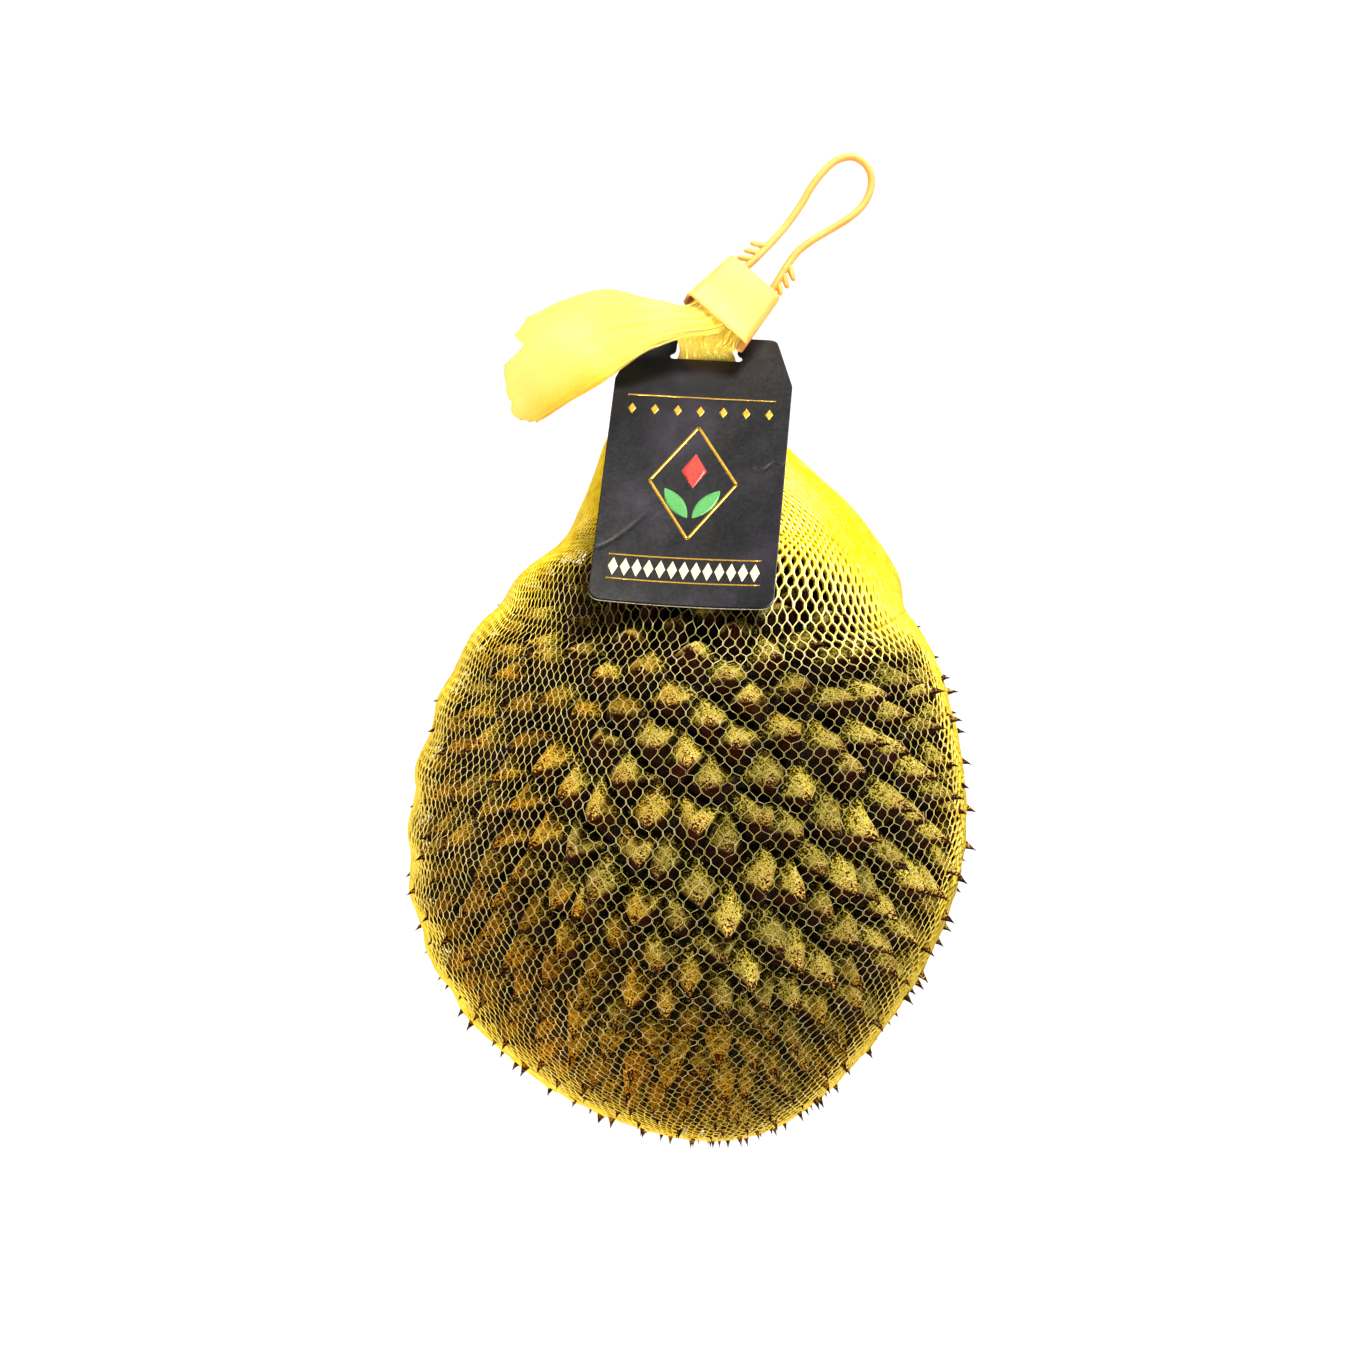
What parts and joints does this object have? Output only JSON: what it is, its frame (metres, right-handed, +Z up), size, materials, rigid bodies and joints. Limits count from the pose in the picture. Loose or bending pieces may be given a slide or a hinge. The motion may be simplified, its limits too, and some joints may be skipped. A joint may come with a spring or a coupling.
{
  "type": "durian fruit in a net bag",
  "caption": "Whole spiny durian lying on its side in a yellow knitted net, gathered past the stem through a plain card tag into a plastic clip with a loop handle.",
  "frame": {"origin": "centre of the bounding box, at floor level under the lying fruit", "axes": "+Z up from the floor; +Y along the fruit from the blossom end to the stem, the neck of the net and the loop; +X to the right seen from above with the stem away from the viewer"},
  "size_m": [0.2038, 0.3572, 0.1951],
  "materials": {
    "husk": "tough green-brown rind with dark brown spine tips",
    "net": "knitted bright yellow plastic yarn",
    "clip": "moulded apricot plastic, satin",
    "tag": "black card with a satin coat"
  },
  "bodies": {
    "root": {"husk": "husk", "net_bag": "net", "net_neck": "net", "clip_loop": "clip", "clip_collar": "clip", "hang_tag": "tag"}
  },
  "joints": []
}
